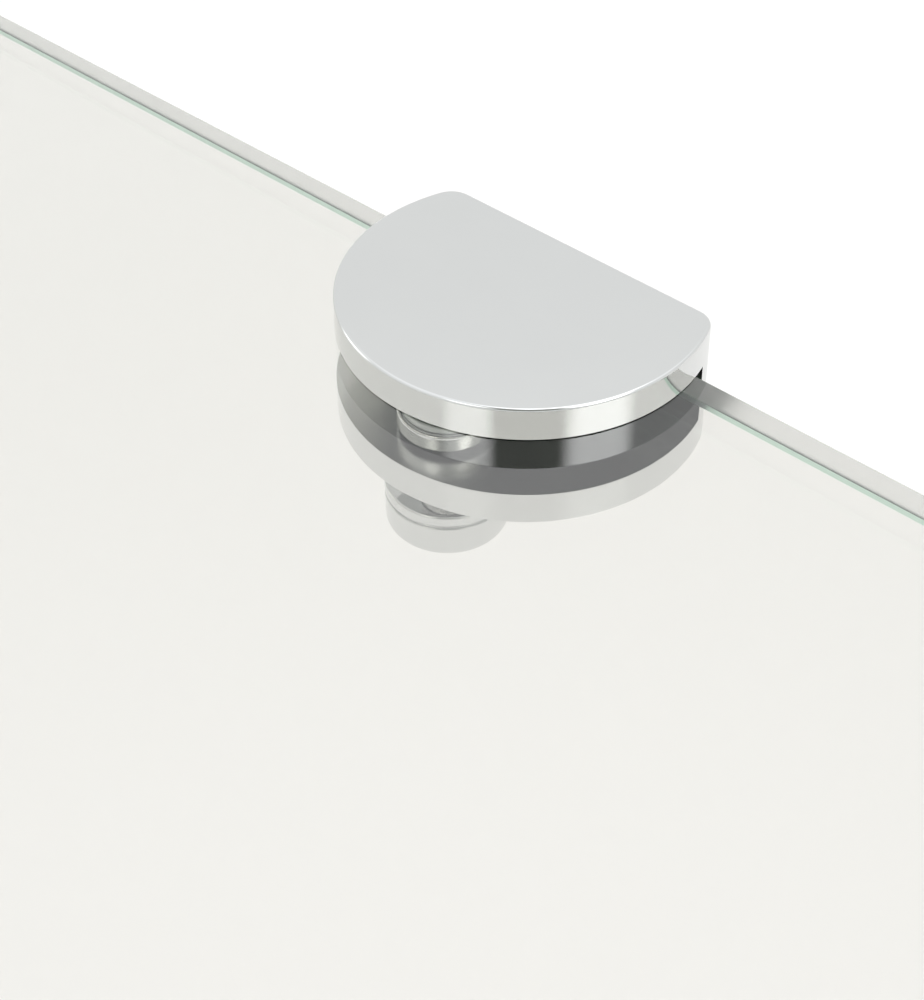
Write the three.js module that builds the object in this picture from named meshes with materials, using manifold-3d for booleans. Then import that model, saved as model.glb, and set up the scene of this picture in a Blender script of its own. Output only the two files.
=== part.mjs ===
// Glass wall shelf on two clamp brackets. Millimetres, +Z up, the wall is the plane y = 0 and the
// shelf stands out along -Y. The origin lies on the wall, midway between the brackets' screw holes.
import * as THREE from 'three';
import { mergeVertices } from 'three/addons/utils/BufferGeometryUtils.js';
import Module from 'manifold-3d';

const wasm = await Module();
wasm.setup();

// Shelf panel
const shelfLength = 450;
const shelfDepth = 150;
const glassThickness = 8;
const glassCornerRadius = 5;
const glassArris = 0.5;

// Bracket casting: two D-shaped jaws joined by a web along their flat side
const bracketPitch = 230;
const jawRadius = 22;
const flatOffset = 10.1;
const jawCornerRadius = 3;
const jawThickness = 4.2;
const jawEdge = 0.4;
const webThickness = 3.6;
const gapAboveGlass = 0.12;
const gapBelowGlass = 3.88;

// Soft pieces
const touchGap = 0.1;
const softEdge = 0.15;
const seatGap = 0.15;
const padInset = 5;
const padPocket = 0.7;
const bufferRadius = 2.6;
const bufferSpread = 12;
const bufferThickness = 1.65;
const bufferPocket = 0.5;
const bufferEdge = 0.3;
const glassSetback = webThickness - bufferPocket + seatGap + bufferThickness + touchGap;

// Clamp screw
const clampReach = 23.5;
const studRadius = 3;
const studClearance = 0.2;
const studEdge = 0.3;
const tipRadius = 1.7;
const tipLength = 0.9;
const discRadius = 5.8;
const discThickness = 2.15;
const discEdge = 0.3;
const pressurePadRadius = 5.2;
const pressurePadThickness = 0.8;
const knobDrop = 3.4;
const knobRadius = 7.4;
const collarHeight = 1.35;
const grooveDepth = 0.35;
const grooveHeight = 0.4;
const knobHeight = 6.3;
const knobRound = 1.6;
const knobSocket = 3.6;

// Countersunk hole in the web, for a 4 mm wall screw
const screwHoleRadius = 2.3;
const sinkRadius = 4.3;
const sinkLand = 0.2;
const sinkDepth = 2.2;

// How far a cutting tool runs past the face it opens
const overrun = 1;

// Levels, from the screw holes' axis
const slotHeight = gapAboveGlass + glassThickness + gapBelowGlass;
const bracketHeight = slotHeight + 2 * jawThickness;
const slotTop = slotHeight / 2;
const slotBottom = -slotHeight / 2;
const glassTop = slotTop - gapAboveGlass;
const glassBottom = glassTop - glassThickness;
const bracketBottom = -bracketHeight / 2;
const discTop = glassBottom - touchGap - pressurePadThickness;
const discBottom = discTop - discThickness;
const knobTop = bracketBottom - knobDrop;

const finish = {
  chrome: { color: 0xd3d8d2, roughness: 0.12, metalness: 1 },
  glass: { color: 0xdfe9e2, roughness: 0.05, metalness: 0, transparent: true, opacity: 0.35 },
  softPad: { color: 0xe8eae6, roughness: 0.5, metalness: 0 },
  darkPad: { color: 0x6f726f, roughness: 0.55, metalness: 0 },
  steel: { color: 0xb9bcbc, roughness: 0.35, metalness: 1 },
};

// Solids

function solid(geometry) {
  const bare = geometry.clone();
  bare.deleteAttribute('normal');
  bare.deleteAttribute('uv');
  const merged = mergeVertices(bare, 1e-5);
  return new wasm.Manifold(new wasm.Mesh({
    numProp: 3,
    vertProperties: new Float32Array(merged.attributes.position.array),
    triVerts: new Uint32Array(merged.index.array),
  }));
}

function geometryOf(body) {
  const mesh = body.getMesh();
  const geometry = new THREE.BufferGeometry();
  geometry.setAttribute('position', new THREE.BufferAttribute(mesh.vertProperties, 3));
  geometry.setIndex(new THREE.BufferAttribute(mesh.triVerts, 1));
  return geometry;
}

function cut(base, ...tools) {
  let body = solid(base);
  for (const tool of tools) {
    body = body.subtract(solid(tool));
  }
  return geometryOf(body);
}

function piece(name, geometry, look) {
  const shaded = geometry.index ? geometry.toNonIndexed() : geometry;
  shaded.computeVertexNormals();
  const mesh = new THREE.Mesh(shaded, new THREE.MeshStandardMaterial(look));
  mesh.name = name;
  return mesh;
}

// A flat outline made into a slab from z = low to z = high, its edges eased by `edge`.
function slab(shape, low, high, edge = 0) {
  const geometry = new THREE.ExtrudeGeometry(shape, {
    depth: high - low - 2 * edge,
    bevelEnabled: edge > 0,
    bevelThickness: edge,
    bevelSize: edge,
    bevelOffset: -edge,
    bevelSegments: 1,
  });
  return geometry.translate(0, 0, low + edge);
}

// A turned piece about Z from (radius, z) pairs, the first and last of them on the axis.
function turned(pairs, segments = 32) {
  return new THREE.LatheGeometry(pairs.map(([r, z]) => new THREE.Vector2(r, z)), segments)
    .rotateX(Math.PI / 2);
}

// The same, lying along Y: each pair is (radius, y).
function turnedAlongY(pairs, segments = 24) {
  return new THREE.LatheGeometry(pairs.map(([r, y]) => new THREE.Vector2(r, y)), segments);
}

function box(x, y, z) {
  return new THREE.BoxGeometry(x[1] - x[0], y[1] - y[0], z[1] - z[0])
    .translate((x[0] + x[1]) / 2, (y[0] + y[1]) / 2, (z[0] + z[1]) / 2);
}

// Outlines, in the wall's frame: the flat side of the D lies at y = flatY

function arc(x, y, radius, from, to, steps) {
  const points = [];
  for (let i = 0; i <= steps; i += 1) {
    const angle = from + (i / steps) * (to - from);
    points.push(new THREE.Vector2(x + radius * Math.cos(angle), y + radius * Math.sin(angle)));
  }
  return points;
}

function dOutline(radius, flatY, cornerRadius) {
  const reach = flatY + flatOffset;
  const cornerX = Math.sqrt((radius - cornerRadius) ** 2 - (reach - cornerRadius) ** 2);
  const corner = Math.atan2(reach - cornerRadius, cornerX);
  return new THREE.Shape([
    ...arc(cornerX, flatY - cornerRadius, cornerRadius, corner, Math.PI / 2, 5),
    ...arc(-cornerX, flatY - cornerRadius, cornerRadius, Math.PI / 2, Math.PI - corner, 5),
    ...arc(0, -flatOffset, radius, Math.PI - corner, 2 * Math.PI + corner, 40).slice(1, -1),
  ]);
}

function roundedPanel(halfLength, back, front, radius) {
  const right = halfLength - radius;
  const quarter = Math.PI / 2;
  return new THREE.Shape([
    ...arc(right, back - radius, radius, 0, quarter, 6),
    ...arc(-right, back - radius, radius, quarter, 2 * quarter, 6),
    ...arc(-right, front + radius, radius, 2 * quarter, 3 * quarter, 6),
    ...arc(right, front + radius, radius, 3 * quarter, 4 * quarter, 6),
  ]);
}

// Pieces of one bracket

function castingGeometry() {
  const outline = dOutline(jawRadius, 0, jawCornerRadius);
  const block = slab(outline, bracketBottom, bracketBottom + bracketHeight, jawEdge);
  const wide = jawRadius + overrun;
  const slot = box([-wide, wide], [-flatOffset - wide, -webThickness], [slotBottom, slotTop]);
  const padSeat = slab(padOutline(0), slotTop - overrun, slotTop + padPocket);
  const boreRadius = studRadius + studClearance;
  const studBore = turned([
    [0, bracketBottom - overrun],
    [boreRadius, bracketBottom - overrun],
    [boreRadius, slotBottom + overrun],
    [0, slotBottom + overrun],
  ]).translate(0, -clampReach, 0);
  const screwHole = turnedAlongY([
    [0, -webThickness - overrun],
    [sinkRadius, -webThickness - overrun],
    [sinkRadius, -webThickness + sinkLand],
    [screwHoleRadius, -webThickness + sinkDepth],
    [screwHoleRadius, overrun],
    [0, overrun],
  ]);
  const bufferSeats = [-1, 1].map((side) => bufferSeat(side));
  return cut(block, slot, padSeat, studBore, screwHole, ...bufferSeats);
}

function padOutline(shrink) {
  return dOutline(jawRadius - padInset - shrink, -webThickness - padInset - shrink, jawCornerRadius - shrink);
}

function topPadGeometry() {
  return slab(padOutline(seatGap), glassTop + touchGap, slotTop + padPocket - seatGap, softEdge);
}

function bufferSeat(side) {
  const radius = bufferRadius + seatGap;
  const floor = -webThickness + bufferPocket;
  return turnedAlongY([
    [0, -webThickness - overrun],
    [radius, -webThickness - overrun],
    [radius, floor],
    [0, floor],
  ]).translate(side * bufferSpread, 0, (glassTop + glassBottom) / 2);
}

function bufferGeometry(side) {
  const back = -webThickness + bufferPocket - seatGap;
  const front = -glassSetback + touchGap;
  return turnedAlongY([
    [0, front],
    [bufferRadius - bufferEdge, front],
    [bufferRadius, front + bufferEdge],
    [bufferRadius, back],
    [0, back],
  ]).translate(side * bufferSpread, 0, (glassTop + glassBottom) / 2);
}

function knobGeometry() {
  const collarBottom = knobTop - collarHeight;
  const grooveRadius = knobRadius - grooveDepth;
  const knobBottom = knobTop - knobHeight;
  const socketRadius = studRadius + studClearance;
  const steps = 4;
  const round = [];
  for (let i = 0; i <= steps; i += 1) {
    const angle = (i / steps) * Math.PI / 2;
    round.push([
      knobRadius - knobRound + knobRound * Math.sin(angle),
      knobBottom + knobRound - knobRound * Math.cos(angle),
    ]);
  }
  return turned([
    [0, knobBottom],
    ...round,
    [knobRadius, collarBottom - grooveHeight],
    [grooveRadius, collarBottom - grooveHeight],
    [grooveRadius, collarBottom],
    [knobRadius, collarBottom],
    [knobRadius, knobTop - discEdge],
    [knobRadius - discEdge, knobTop],
    [socketRadius, knobTop],
    [socketRadius, knobTop - knobSocket - studClearance],
    [0, knobTop - knobSocket - studClearance],
  ], 40);
}

function studGeometry() {
  const tipTop = discBottom + tipLength;
  const shoulder = discBottom - studClearance;
  return turned([
    [0, knobTop - knobSocket],
    [studRadius, knobTop - knobSocket],
    [studRadius, shoulder - studEdge],
    [studRadius - studEdge, shoulder],
    [tipRadius, shoulder],
    [tipRadius, tipTop],
    [0, tipTop],
  ]);
}

function discGeometry() {
  const socketRadius = tipRadius + studClearance;
  const socketTop = discBottom + tipLength + studClearance;
  return turned([
    [0, socketTop],
    [socketRadius, socketTop],
    [socketRadius, discBottom],
    [discRadius - discEdge, discBottom],
    [discRadius, discBottom + discEdge],
    [discRadius, discTop - discEdge],
    [discRadius - discEdge, discTop],
    [0, discTop],
  ]);
}

function pressurePadGeometry() {
  const low = discTop + touchGap / 2;
  const high = glassBottom - touchGap / 2;
  return turned([
    [0, low],
    [pressurePadRadius, low],
    [pressurePadRadius, high - softEdge],
    [pressurePadRadius - softEdge, high],
    [0, high],
  ]);
}

// Assembly

function bracket(side, x) {
  const group = new THREE.Group();
  const clamp = new THREE.Group();
  clamp.position.set(0, -clampReach, 0);
  clamp.add(
    piece(`clamp_knob_${side}`, knobGeometry(), finish.chrome),
    piece(`clamp_stud_${side}`, studGeometry(), finish.steel),
    piece(`pressure_disc_${side}`, discGeometry(), finish.chrome),
    piece(`pressure_pad_${side}`, pressurePadGeometry(), finish.softPad),
  );
  group.add(
    piece(`bracket_casting_${side}`, castingGeometry(), finish.chrome),
    piece(`jaw_pad_${side}`, topPadGeometry(), finish.darkPad),
    piece(`edge_buffer_west_${side}`, bufferGeometry(-1), finish.darkPad),
    piece(`edge_buffer_east_${side}`, bufferGeometry(1), finish.darkPad),
    clamp,
  );
  group.position.set(x, 0, 0);
  return group;
}

function glassPanel() {
  const outline = roundedPanel(shelfLength / 2, -glassSetback, -glassSetback - shelfDepth, glassCornerRadius);
  return piece('glass_panel', slab(outline, glassBottom, glassTop, glassArris), finish.glass);
}

const shelf = new THREE.Group();
shelf.add(
  glassPanel(),
  bracket('left', -bracketPitch / 2),
  bracket('right', bracketPitch / 2),
);

export default shelf;
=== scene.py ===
import math

import bmesh
import bpy
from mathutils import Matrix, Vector


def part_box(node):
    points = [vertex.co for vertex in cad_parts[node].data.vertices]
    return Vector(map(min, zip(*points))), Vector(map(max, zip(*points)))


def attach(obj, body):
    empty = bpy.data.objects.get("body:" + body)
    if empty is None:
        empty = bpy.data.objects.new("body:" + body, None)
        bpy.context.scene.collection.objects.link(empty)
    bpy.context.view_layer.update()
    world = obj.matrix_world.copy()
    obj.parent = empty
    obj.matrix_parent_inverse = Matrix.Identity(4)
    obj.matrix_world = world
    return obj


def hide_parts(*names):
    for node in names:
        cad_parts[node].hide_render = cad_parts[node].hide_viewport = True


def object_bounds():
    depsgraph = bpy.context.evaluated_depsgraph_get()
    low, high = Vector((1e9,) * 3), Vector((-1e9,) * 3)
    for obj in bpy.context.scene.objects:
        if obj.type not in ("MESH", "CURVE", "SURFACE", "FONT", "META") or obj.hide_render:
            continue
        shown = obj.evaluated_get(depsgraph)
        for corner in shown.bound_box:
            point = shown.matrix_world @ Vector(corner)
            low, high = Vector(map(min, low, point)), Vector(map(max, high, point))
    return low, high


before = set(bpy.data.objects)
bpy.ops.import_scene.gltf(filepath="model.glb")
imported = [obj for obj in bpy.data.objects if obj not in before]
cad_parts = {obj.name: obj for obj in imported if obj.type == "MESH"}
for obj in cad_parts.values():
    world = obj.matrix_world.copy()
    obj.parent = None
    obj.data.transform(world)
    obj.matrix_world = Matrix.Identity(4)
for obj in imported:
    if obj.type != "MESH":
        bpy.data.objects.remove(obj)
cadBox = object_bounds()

# Glass shelf on two chrome clamp brackets. Sizes in mm are turned to metres by mm.
mm = 0.001
sides = ("left", "right")
glassLow, glassHigh = (Vector(corner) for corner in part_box("glass_panel"))


# ---- nodes

class Sock:
    def __init__(self, graph, out):
        self.graph = graph
        self.out = out

    def maths(self, operation, first, second=0.0):
        return self.graph.add("ShaderNodeMath", {"operation": operation}, {0: first, 1: second})

    def __add__(self, other):
        return self.maths("ADD", self, other)

    def __radd__(self, other):
        return self.maths("ADD", other, self)

    def __sub__(self, other):
        return self.maths("SUBTRACT", self, other)

    def __rsub__(self, other):
        return self.maths("SUBTRACT", other, self)

    def __mul__(self, other):
        return self.maths("MULTIPLY", self, other)

    def __rmul__(self, other):
        return self.maths("MULTIPLY", other, self)

    def __pow__(self, other):
        return self.maths("POWER", self, other)


class Graph:
    def __init__(self, owner):
        self.owner = owner
        owner.use_nodes = True
        self.tree = owner.node_tree
        self.tree.nodes.clear()

    # settings go in first, then the sockets' values and links
    def add(self, kind, settings=None, inputs=None, output=0):
        node = self.tree.nodes.new(kind)
        for name, value in (settings or {}).items():
            if name == "stops":
                ramp = node.color_ramp
                while len(ramp.elements) < len(value):
                    ramp.elements.new(1.0)
                for element, (place, shade) in zip(ramp.elements, value):
                    element.position = place
                    element.color = (shade, shade, shade, 1.0)
            else:
                setattr(node, name, value)
        for name, value in (inputs or {}).items():
            if isinstance(value, Sock):
                self.tree.links.new(value.out, node.inputs[name])
            else:
                node.inputs[name].default_value = value
        return Sock(self, node.outputs[output])

    def noise(self, place, scale, detail=2.0, roughness=0.5):
        return self.add("ShaderNodeTexNoise", None,
                        {"Vector": place, "Scale": scale, "Detail": detail, "Roughness": roughness})

    def mixColour(self, factor, first, second):
        settings = {"data_type": "RGBA"}
        return self.add("ShaderNodeMix", settings, {0: factor, 6: first, 7: second}, output=2)

    def bump(self, height, distance, strength=1.0):
        return self.add("ShaderNodeBump", None,
                        {"Height": height, "Distance": distance, "Strength": strength})


def material(name, build):
    graph = Graph(bpy.data.materials.new(name))
    surface, volume = build(graph)
    output = graph.tree.nodes.new("ShaderNodeOutputMaterial")
    graph.tree.links.new(surface.out, output.inputs["Surface"])
    if volume is not None:
        graph.tree.links.new(volume.out, output.inputs["Volume"])
    return graph.owner


def objectPlace(graph):
    return graph.add("ShaderNodeTexCoord", None, None, output=3)


chromeLook = {"colour": (0.69, 0.70, 0.695, 1), "shade": (0.67, 0.68, 0.675, 1), "rough": 0.03,
              "roughSpan": 0.03, "wave": 0.000012, "grain": 0.0000012, "satin": 0.22}


def chromeNodes(graph):
    place = objectPlace(graph)
    haze = graph.noise(place, 130.0, 3.0)
    grain = graph.noise(place, 4200.0, 2.0)
    wave = graph.noise(place, 95.0, 1.0)
    ripple = graph.bump(wave, chromeLook["wave"])
    fine = graph.add("ShaderNodeBump", None,
                     {"Height": grain, "Distance": chromeLook["grain"], "Normal": ripple})
    colour = graph.mixColour(haze, chromeLook["colour"], chromeLook["shade"])
    satin = graph.add("ShaderNodeAttribute", {"attribute_name": "satin"}, None, output=2)
    return graph.add("ShaderNodeBsdfPrincipled", None, {
        "Base Color": colour,
        "Metallic": 1.0,
        "Roughness": chromeLook["rough"] + chromeLook["roughSpan"] * haze + chromeLook["satin"] * satin,
        "Normal": fine,
    }), None


glassLook = {"ior": 1.52, "coatIor": 1.9, "absorb": (0.0, 0.54, 0.27, 1), "density": 10.0,
             "tint": (0.865, 0.815, 0.80, 1), "edge": (0.67, 0.68, 0.635, 1),
             "arris": (0.33, 0.53, 0.40, 1), "edgeRough": 0.30, "arrisRough": 0.36}


# the panel's faces carry three marks: edge, arris and coated
def glassNodes(graph):
    film = graph.noise(objectPlace(graph), 40.0, 4.0)
    edge, arris, coated = (graph.add("ShaderNodeAttribute", {"attribute_name": name}, None, output=2)
                           for name in ("edge", "arris", "coated"))
    edgeColour = graph.mixColour(edge, glassLook["tint"], glassLook["edge"])
    surface = graph.add("ShaderNodeBsdfPrincipled", None, {
        "Base Color": graph.mixColour(arris, edgeColour, glassLook["arris"]),
        "Roughness": glassLook["edgeRough"] * edge + glassLook["arrisRough"] * arris + 0.006 * film,
        "IOR": glassLook["ior"],
        "Transmission Weight": 1.0,
        "Coat Weight": coated,
        "Coat Roughness": 0.01,
        "Coat IOR": glassLook["coatIor"],
    })
    body = graph.add("ShaderNodeVolumeAbsorption", None,
                     {"Color": glassLook["absorb"], "Density": glassLook["density"]})
    return surface, body


palePadLook = {"colour": (0.80, 0.82, 0.80, 1), "shade": (0.70, 0.73, 0.71, 1), "rough": 0.34}
darkPadLook = {"colour": (0.10, 0.11, 0.105, 1), "shade": (0.08, 0.087, 0.083, 1), "rough": 0.4}


def padNodes(look):
    def build(graph):
        place = objectPlace(graph)
        cloud = graph.noise(place, 600.0, 3.0)
        skin = graph.noise(place, 5200.0, 2.0)
        return graph.add("ShaderNodeBsdfPrincipled", None, {
            "Base Color": graph.mixColour(cloud, look["colour"], look["shade"]),
            "Roughness": look["rough"] + 0.2 * cloud,
            "Normal": graph.bump(skin, 0.00001),
        }), None
    return build


steelLook = {"colour": (0.62, 0.62, 0.60, 1), "shade": (0.50, 0.50, 0.48, 1)}


def steelNodes(graph):
    place = objectPlace(graph)
    spangle = graph.noise(place, 900.0, 4.0)
    fine = graph.noise(place, 9000.0, 2.0)
    return graph.add("ShaderNodeBsdfPrincipled", None, {
        "Base Color": graph.mixColour(spangle, steelLook["colour"], steelLook["shade"]),
        "Metallic": 1.0,
        "Roughness": 0.2 + 0.16 * spangle,
        "Normal": graph.bump(fine, 0.000004),
    }), None


chrome = material("polished_chrome", chromeNodes)
clearGlass = material("clear_float_glass", glassNodes)
palePad = material("pale_pad", padNodes(palePadLook))
darkPad = material("dark_pad", padNodes(darkPadLook))
steel = material("zinc_plated_steel", steelNodes)
print("materials made")


# ---- shapes

def roundCorners(corners, steps=6):
    # (u, v) or (u, v, radius) corners of an open line, each rounded by its radius
    points = []
    for index, corner in enumerate(corners):
        here = Vector(corner[:2])
        radius = corner[2] if len(corner) > 2 else 0
        if not radius or index in (0, len(corners) - 1):
            points.append(here)
            continue
        toPrevious = (Vector(corners[index - 1][:2]) - here).normalized()
        toNext = (Vector(corners[index + 1][:2]) - here).normalized()
        halfAngle = toPrevious.angle(toNext) / 2
        middle = here + (toPrevious + toNext).normalized() * (radius / math.sin(halfAngle))
        start = here + toPrevious * (radius / math.tan(halfAngle)) - middle
        end = here + toNext * (radius / math.tan(halfAngle)) - middle
        sweep = start.angle_signed(end)
        for step in range(steps + 1):
            angle = -sweep * step / steps
            turned = Vector((start.x * math.cos(angle) - start.y * math.sin(angle),
                             start.x * math.sin(angle) + start.y * math.cos(angle)))
            points.append(middle + turned)
    return points


def loft(name, ringAt, profile, look):
    # one ring of points for each (u, v) of the profile, skinned with quads and capped at both ends
    mesh = bmesh.new()
    rings = [[mesh.verts.new(point) for point in ringAt(u, v)] for u, v in profile]
    for low, high in zip(rings, rings[1:]):
        for index in range(len(low)):
            after = (index + 1) % len(low)
            mesh.faces.new((low[index], low[after], high[after], high[index]))
    mesh.faces.new(rings[0])
    mesh.faces.new(rings[-1])
    return finishMesh(name, mesh, look)


def finishMesh(name, mesh, look):
    bmesh.ops.remove_doubles(mesh, verts=mesh.verts, dist=1e-7)
    bmesh.ops.dissolve_degenerate(mesh, edges=mesh.edges, dist=1e-7)
    bmesh.ops.recalc_face_normals(mesh, faces=mesh.faces)
    data = bpy.data.meshes.new(name)
    mesh.to_mesh(data)
    mesh.free()
    piece = bpy.data.objects.new(name, data)
    bpy.context.collection.objects.link(piece)
    if look is not None:
        data.materials.append(look)
    return piece


def circleRing(centre, axis="Z", segments=96):
    def ringAt(radius, along):
        points = []
        for step in range(segments):
            angle = 2 * math.pi * step / segments
            across = radius * math.cos(angle) * mm
            up = radius * math.sin(angle) * mm
            if axis == "Z":
                points.append(centre + Vector((across, up, along * mm)))
            else:
                points.append(centre + Vector((across, along * mm, up)))
        return points
    return ringAt


def arcPoints(x, y, radius, start, end, steps):
    return [(x + radius * math.cos(start + (end - start) * step / steps),
             y + radius * math.sin(start + (end - start) * step / steps)) for step in range(steps + 1)]


def dRing(centreX, dShape, flatY):
    # rings of the D outline, drawn in from its full size by the first profile number
    def ringAt(inset, along):
        radius = dShape["radius"] - inset
        corner = max(dShape["corner"] - inset, 0.2)
        edge = flatY - inset
        reach = edge + dShape["flatOffset"]
        cornerX = math.sqrt((radius - corner) ** 2 - (reach - corner) ** 2)
        turn = math.atan2(reach - corner, cornerX)
        points = arcPoints(cornerX, edge - corner, corner, turn, math.pi / 2, 14)
        points += arcPoints(-cornerX, edge - corner, corner, math.pi / 2, math.pi - turn, 14)
        points += arcPoints(0, -dShape["flatOffset"], radius, math.pi - turn, 2 * math.pi + turn, 150)[1:-1]
        return [Vector((centreX + x * mm, y * mm, along * mm)) for x, y in points]
    return ringAt


def boxPiece(name, low, high):
    mesh = bmesh.new()
    bmesh.ops.create_cube(mesh, size=1.0)
    for vert in mesh.verts:
        vert.co = Vector([low[i] + (vert.co[i] + 0.5) * (high[i] - low[i]) for i in range(3)])
    return finishMesh(name, mesh, None)


def cutAway(piece, cutters):
    for cutter in cutters:
        change = piece.modifiers.new("cut", "BOOLEAN")
        change.operation = "DIFFERENCE"
        change.solver = "EXACT"
        change.object = cutter
    bpy.context.view_layer.update()
    applyModifiers(piece)
    for cutter in cutters:
        bpy.data.objects.remove(cutter)


def applyModifiers(piece):
    seen = piece.evaluated_get(bpy.context.evaluated_depsgraph_get())
    data = bpy.data.meshes.new_from_object(seen)
    piece.modifiers.clear()
    piece.data = data


def easeEdges(piece, width, segments=3, limit=38):
    mesh = bmesh.new()
    mesh.from_mesh(piece.data)
    bmesh.ops.dissolve_limit(mesh, angle_limit=math.radians(0.05), verts=mesh.verts, edges=mesh.edges)
    mesh.to_mesh(piece.data)
    mesh.free()
    change = piece.modifiers.new("edges", "BEVEL")
    change.width = width * mm
    change.segments = segments
    change.limit_method = "ANGLE"
    change.angle_limit = math.radians(limit)
    change.use_clamp_overlap = True
    applyModifiers(piece)


def smooth(piece, sharpAngle=34):
    for face in piece.data.polygons:
        face.use_smooth = True
    piece.data.set_sharp_from_angle(angle=math.radians(sharpAngle))
    change = piece.modifiers.new("normals", "WEIGHTED_NORMAL")
    change.keep_sharp = True
    change.weight = 100


def place(piece, body, node, slot):
    smooth(piece)
    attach(piece, body)
    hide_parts(node)


# ---- glass panel

panel = {"corner": 5.0, "arris": 0.5}


def panelRing(inset, along):
    corner = panel["corner"] - inset
    right = glassHigh.x / mm - inset - corner
    back = glassHigh.y / mm - inset - corner
    front = glassLow.y / mm + inset + corner
    quarter = math.pi / 2
    points = arcPoints(right, back, corner, 0, quarter, 12)
    points += arcPoints(-right, back, corner, quarter, 2 * quarter, 12)
    points += arcPoints(-right, front, corner, 2 * quarter, 3 * quarter, 12)
    points += arcPoints(right, front, corner, 3 * quarter, 4 * quarter, 12)
    return [Vector((x * mm, y * mm, along * mm)) for x, y in points]


def makePanel():
    low, high, arris = glassLow.z / mm, glassHigh.z / mm, panel["arris"]
    profile = roundCorners([(arris + 1, low), (arris, low, 0.12), (0, low + arris, 0.12),
                            (0, high - arris, 0.12), (arris, high, 0.12), (arris + 1, high)], 3)
    piece = loft("glass_panel_body", panelRing, profile, clearGlass)
    marks = {name: piece.data.attributes.new(name, "FLOAT", "FACE") for name in ("edge", "arris", "coated")}
    for face in piece.data.polygons:
        tilt = face.normal.z
        if tilt > 0.95:
            marks["coated"].data[face.index].value = 1.0
        elif abs(tilt) < 0.3:
            marks["edge"].data[face.index].value = 1.0
        elif abs(tilt) < 0.95:
            marks["arris"].data[face.index].value = 1.0
    place(piece, "glass_panel", "glass_panel", "clear_glass")


makePanel()
print("glass panel made")


# ---- bracket castings

dShape = {"radius": 22.0, "flatOffset": 10.1, "corner": 3.0}
casting = {"jaw": 4.2, "web": 3.6, "edge": 0.35, "slotEdge": 0.22, "pocketInset": 5.0, "pocketDepth": 0.7,
           "bore": 3.2, "hole": 2.3, "sink": 4.3, "sinkDepth": 2.2, "bufferHole": 2.75, "bufferSpread": 12.0,
           "bufferDepth": 0.5}
clampY = -23.5


# the slot's floor is less polished than the outside
def markSlotFloor(piece, level):
    satin = piece.data.attributes.new("satin", "FLOAT", "FACE")
    for face in piece.data.polygons:
        if face.normal.z > 0.9 and abs(face.center.z - level) < 0.05 * mm:
            satin.data[face.index].value = 1.0


def makeCasting(side):
    low, high = (Vector(corner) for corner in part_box("bracket_casting_" + side))
    x = (low.x + high.x) / 2
    bottom, top = low.z / mm, high.z / mm
    edge = casting["edge"]
    profile = roundCorners([(edge + 2, bottom), (0, bottom, edge), (0, top, edge), (edge + 2, top)], 6)
    body = loft("bracket_casting_body_" + side, dRing(x, dShape, 0.0), profile, chrome)
    slotLow, slotHigh = bottom + casting["jaw"], top - casting["jaw"]
    web = casting["web"]
    slot = boxPiece("slot", (low.x - 0.01, low.y - 0.01, slotLow * mm),
                    (high.x + 0.01, -web * mm, slotHigh * mm))
    pocketShape = {"radius": dShape["radius"] - casting["pocketInset"], "flatOffset": dShape["flatOffset"],
                   "corner": 2.0}
    pocket = loft("pocket", dRing(x, pocketShape, -web - casting["pocketInset"]),
                  [(0, slotHigh - 1), (0, slotHigh + casting["pocketDepth"])], None)
    bore = loft("bore", circleRing(Vector((x, clampY * mm, 0)), "Z", 64),
                [(casting["bore"], bottom - 1), (casting["bore"], slotLow + 1)], None)
    hole = loft("hole", circleRing(Vector((x, 0, 0)), "Y", 64),
                [(casting["sink"], -web - 1), (casting["sink"], -web + 0.2),
                 (casting["hole"], -web + casting["sinkDepth"]), (casting["hole"], 1)], None)
    middle = (glassLow.z + glassHigh.z) / 2
    bufferHole = [(casting["bufferHole"], -web - 1), (casting["bufferHole"], -web + casting["bufferDepth"])]
    centres = [Vector((x + way * casting["bufferSpread"] * mm, 0, middle)) for way in (-1, 1)]
    buffers = [loft("buffer", circleRing(centre, "Y", 40), bufferHole, None) for centre in centres]
    cutAway(body, [slot, pocket, bore, hole] + buffers)
    easeEdges(body, casting["slotEdge"])
    markSlotFloor(body, slotLow * mm)
    place(body, "wall_brackets", "bracket_casting_" + side, "chrome")


for side in sides:
    makeCasting(side)
print("castings made")


# ---- soft pads and buffers

def makeSoftPieces(side):
    low, high = (Vector(corner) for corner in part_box("jaw_pad_" + side))
    x = (low.x + high.x) / 2
    bottom, top = low.z / mm, high.z / mm
    padShape = {"radius": (high.x - low.x) / 2 / mm, "flatOffset": dShape["flatOffset"], "corner": 0.85}
    pad = loft("jaw_pad_body_" + side, dRing(x, padShape, high.y / mm),
               roundCorners([(2, bottom), (0, bottom, 0.25), (0, top, 0.15), (2, top)], 4), darkPad)
    place(pad, "wall_brackets", "jaw_pad_" + side, "dark_pad")
    for way in ("west", "east"):
        low, high = (Vector(corner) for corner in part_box("edge_buffer_" + way + "_" + side))
        centre = Vector(((low.x + high.x) / 2, 0, (low.z + high.z) / 2))
        radius = (high.x - low.x) / 2 / mm
        front, back = low.y / mm, high.y / mm
        outline = roundCorners([(0, front), (radius, front, 0.5), (radius, back, 0.1), (0, back)], 5)
        button = loft("edge_buffer_body_" + way + "_" + side, circleRing(centre, "Y", 48), outline, darkPad)
        place(button, "wall_brackets", "edge_buffer_" + way + "_" + side, "dark_pad")


for side in sides:
    makeSoftPieces(side)
print("soft pieces made")


# ---- clamp screws

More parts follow.
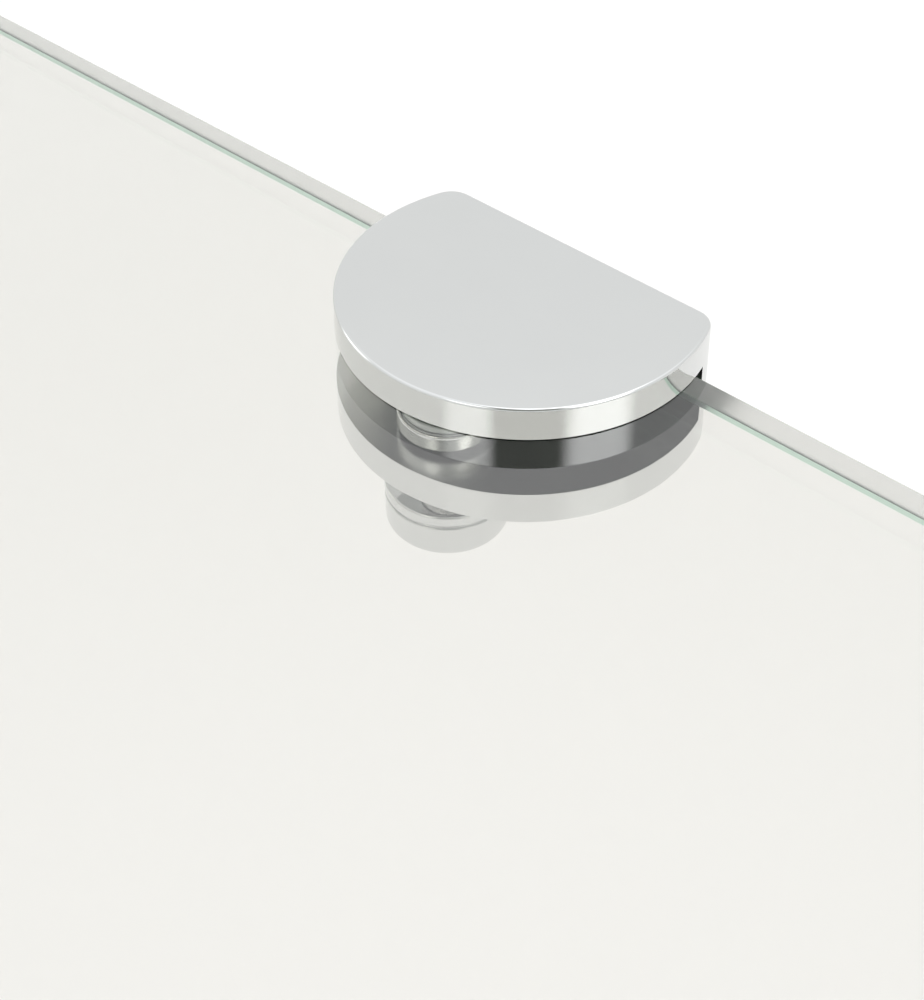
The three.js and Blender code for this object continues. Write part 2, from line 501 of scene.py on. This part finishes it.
knob = {"collar": 1.35, "grooveDepth": 0.35, "groove": 0.4, "topEdge": 0.35, "bottomEdge": 1.5, "socket": 3.2}
stud = {"pitch": 1.0, "rowsPerTurn": 12, "depth": 0.34, "chamfer": 0.5, "tip": 1.7, "tipLength": 0.9}


def threadedRing(centre, root, depth, pitch, segments, fadeStart, fadeEnd):
    # a level ring whose radius follows a screw thread, fading out at both ends
    plain = circleRing(centre, "Z", segments)

    def ringAt(radius, along):
        points = []
        fade = min(1.0, max(0.0, (along - fadeStart) / pitch), max(0.0, (fadeEnd - along) / pitch))
        base = plain(1.0, along)
        mid = centre + Vector((0, 0, along * mm))
        for step, point in enumerate(base):
            crest = 0.5 + 0.5 * math.cos(2 * math.pi * (along / pitch - step / segments))
            points.append(mid + (point - mid) * (min(radius, root + depth * crest * fade)))
        return points
    return ringAt


def evenly(start, end, count):
    return [start + (end - start) * step / count for step in range(count + 1)]


def makeClamp(side):
    low, high = (Vector(corner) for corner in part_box("clamp_knob_" + side))
    x = (low.x + high.x) / 2
    y = (low.y + high.y) / 2
    axis = Vector((x, y, 0))
    radius = (high.x - low.x) / 2 / mm
    bottom, top = low.z / mm, high.z / mm
    collarEnd = top - knob["collar"]
    inner = radius - knob["grooveDepth"]
    grooveEnd = collarEnd - knob["groove"]
    cap = loft("clamp_knob_body_" + side, circleRing(axis, "Z", 128), roundCorners([
        (0, bottom), (radius - 0.1, bottom, knob["bottomEdge"]), (radius, grooveEnd, 0.2),
        (inner, grooveEnd, 0.1), (inner, collarEnd, 0.1), (radius, collarEnd, 0.15),
        (radius, top, knob["topEdge"]),
        (knob["socket"], top, 0.1), (knob["socket"], top - 1.5), (0, top - 1.5)], 7), chrome)
    place(cap, "clamp_screw_" + side, "clamp_knob_" + side, "chrome")

    low, high = (Vector(corner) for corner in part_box("clamp_stud_" + side))
    radius = (high.x - low.x) / 2 / mm
    start, end = low.z / mm + 2.6, high.z / mm
    shoulder = end - stud["tipLength"] - 0.2
    root = radius - stud["depth"]
    threadEnd = shoulder - stud["chamfer"]
    count = round((threadEnd - start) / stud["pitch"] * stud["rowsPerTurn"])
    rows = [(radius, z) for z in evenly(start, threadEnd, count)]
    rows += [(radius - stud["chamfer"], shoulder), (stud["tip"], shoulder), (stud["tip"], end - 0.2),
             (stud["tip"] - 0.2, end)]
    screw = loft("clamp_stud_body_" + side,
                 threadedRing(axis, root, stud["depth"], stud["pitch"], 64, start - 1, shoulder + 1),
                 rows, steel)
    place(screw, "clamp_screw_" + side, "clamp_stud_" + side, "steel")


def makeFoot(side):
    low, high = (Vector(corner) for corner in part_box("pressure_disc_" + side))
    axis = Vector(((low.x + high.x) / 2, (low.y + high.y) / 2, 0))
    radius = (high.x - low.x) / 2 / mm
    bottom, top = low.z / mm, high.z / mm
    disc = loft("pressure_disc_body_" + side, circleRing(axis, "Z", 112), roundCorners([
        (0, bottom + 1.1), (1.9, bottom + 1.1), (1.9, bottom, 0.1), (radius, bottom, 0.3),
        (radius, top, 0.35), (0, top)], 5), chrome)
    place(disc, "pressure_foot_" + side, "pressure_disc_" + side, "chrome")
    low, high = (Vector(corner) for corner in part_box("pressure_pad_" + side))
    radius = (high.x - low.x) / 2 / mm
    bottom, top = low.z / mm, high.z / mm
    pad = loft("pressure_pad_body_" + side, circleRing(axis, "Z", 96), roundCorners([
        (0, bottom), (radius, bottom, 0.1), (radius, top, 0.3), (radius - 1.2, top, 0.2),
        (radius - 1.4, top - 0.15, 0.2), (0, top - 0.15)], 4), palePad)
    place(pad, "pressure_foot_" + side, "pressure_pad_" + side, "soft_pad")


for side in sides:
    makeClamp(side)
    makeFoot(side)
print("clamp screws and feet made")


# ---- studio

studio = {"floorDrop": 0.9, "floorSize": 16.0, "floorColour": (0.875, 0.865, 0.85, 1),
          "floorShade": (0.865, 0.855, 0.84, 1)}
sky = {"low": (0.98, 0.985, 0.985, 1), "high": (1.22, 1.23, 1.25, 1), "front": (0.34, 0.355, 0.33, 1),
       "backdrop": (1, 1, 1, 1), "frontAzimuth": -48, "frontElevation": 43, "frontSpread": 36}
boxes = [{"azimuth": -83, "elevation": 42, "spread": 15, "radiance": 2.5},
         {"azimuth": -2, "elevation": 42, "spread": 21, "radiance": 3.5},
         {"azimuth": -157, "elevation": 15, "spread": 17, "radiance": 2.2}]


def makeFloor():
    mesh = bmesh.new()
    half = studio["floorSize"] / 2
    level = cadBox[0][2] - studio["floorDrop"]
    corners = [mesh.verts.new((x * half, y * half, level)) for x, y in ((-1, -1), (1, -1), (1, 1), (-1, 1))]
    mesh.faces.new(corners)

    def floorNodes(graph):
        cloud = graph.noise(objectPlace(graph), 1.2, 2.0)
        return graph.add("ShaderNodeBsdfPrincipled", None, {
            "Base Color": graph.mixColour(cloud, studio["floorColour"], studio["floorShade"]),
            "Roughness": 0.9,
        }), None

    floor = finishMesh("studio_floor", mesh, material("studio_paper", floorNodes))


def toward(azimuth, elevation):
    turn, lift = math.radians(azimuth), math.radians(elevation)
    return Vector((math.cos(lift) * math.cos(turn), math.cos(lift) * math.sin(turn), math.sin(lift)))


# a pale dome, dark behind the camera, with three soft round light panels
def makeSky():
    world = bpy.data.worlds.new("studio_sky")
    bpy.context.scene.world = world
    graph = Graph(world)
    direction = graph.add("ShaderNodeTexCoord", None, None, output=0)

    def nearness(aim, edge, core):
        facing = graph.add("ShaderNodeVectorMath", {"operation": "DOT_PRODUCT"},
                           {0: direction, 1: tuple(aim)}, output=1)
        return graph.add("ShaderNodeMapRange", {"interpolation_type": "SMOOTHERSTEP"},
                         {"Value": facing, "From Min": edge, "From Max": core})

    spread = math.radians(sky["frontSpread"])
    front = toward(sky["frontAzimuth"], sky["frontElevation"])
    dark = nearness(front, math.cos(spread), math.cos(spread * 0.65))
    dome = graph.mixColour(nearness((0, 0, 1), 0.55, 0.85), sky["low"], sky["high"])
    light = graph.mixColour(dark, dome, sky["front"])
    for box in boxes:
        aim = toward(box["azimuth"], box["elevation"])
        edge = math.cos(math.radians(box["spread"]))
        core = math.cos(math.radians(box["spread"] * 0.25))
        light = graph.mixColour(nearness(aim, edge, core), light, (box["radiance"],) * 3 + (1,))
    seen = graph.add("ShaderNodeLightPath", None, None, output=0)
    colour = graph.mixColour(seen, light, sky["backdrop"])
    background = graph.add("ShaderNodeBackground", None, {"Color": colour})
    output = graph.tree.nodes.new("ShaderNodeOutputWorld")
    graph.tree.links.new(background.out, output.inputs["Surface"])


def softbox(name, azimuth, elevation, distance, size, power):
    data = bpy.data.lights.new(name, "AREA")
    data.size = size
    data.energy = power
    away = toward(azimuth, elevation)
    lamp = bpy.data.objects.new(name, data)
    lamp.location = away * distance
    lamp.rotation_euler = away.to_track_quat("Z", "Y").to_euler()
    bpy.context.collection.objects.link(lamp)


makeFloor()
makeSky()
softbox("overhead_softbox", 60, 78, 4.5, 3.0, 22)
print("studio made")


# ---- camera

view = {"reach": (139.4, -167.9, 160.9), "yaw": 41.59, "pitch": 41.555, "lens": 91.65}


def makeCamera():
    low, high = (Vector(corner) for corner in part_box("bracket_casting_left"))
    jawCentre = Vector(((low.x + high.x) / 2, -dShape["flatOffset"] * mm, high.z))
    data = bpy.data.cameras.new("view_camera")
    data.sensor_fit = "HORIZONTAL"
    data.sensor_width = 36
    data.lens = view["lens"]
    data.clip_start = 0.01
    data.clip_end = 50
    camera = bpy.data.objects.new("view_camera", data)
    camera.location = jawCentre + Vector(view["reach"]) * mm
    camera.rotation_euler = (math.radians(90 - view["pitch"]), 0, math.radians(view["yaw"]))
    bpy.context.collection.objects.link(camera)
    bpy.context.scene.camera = camera


makeCamera()
bpy.context.scene.view_settings.view_transform = "Standard"
print("camera set")
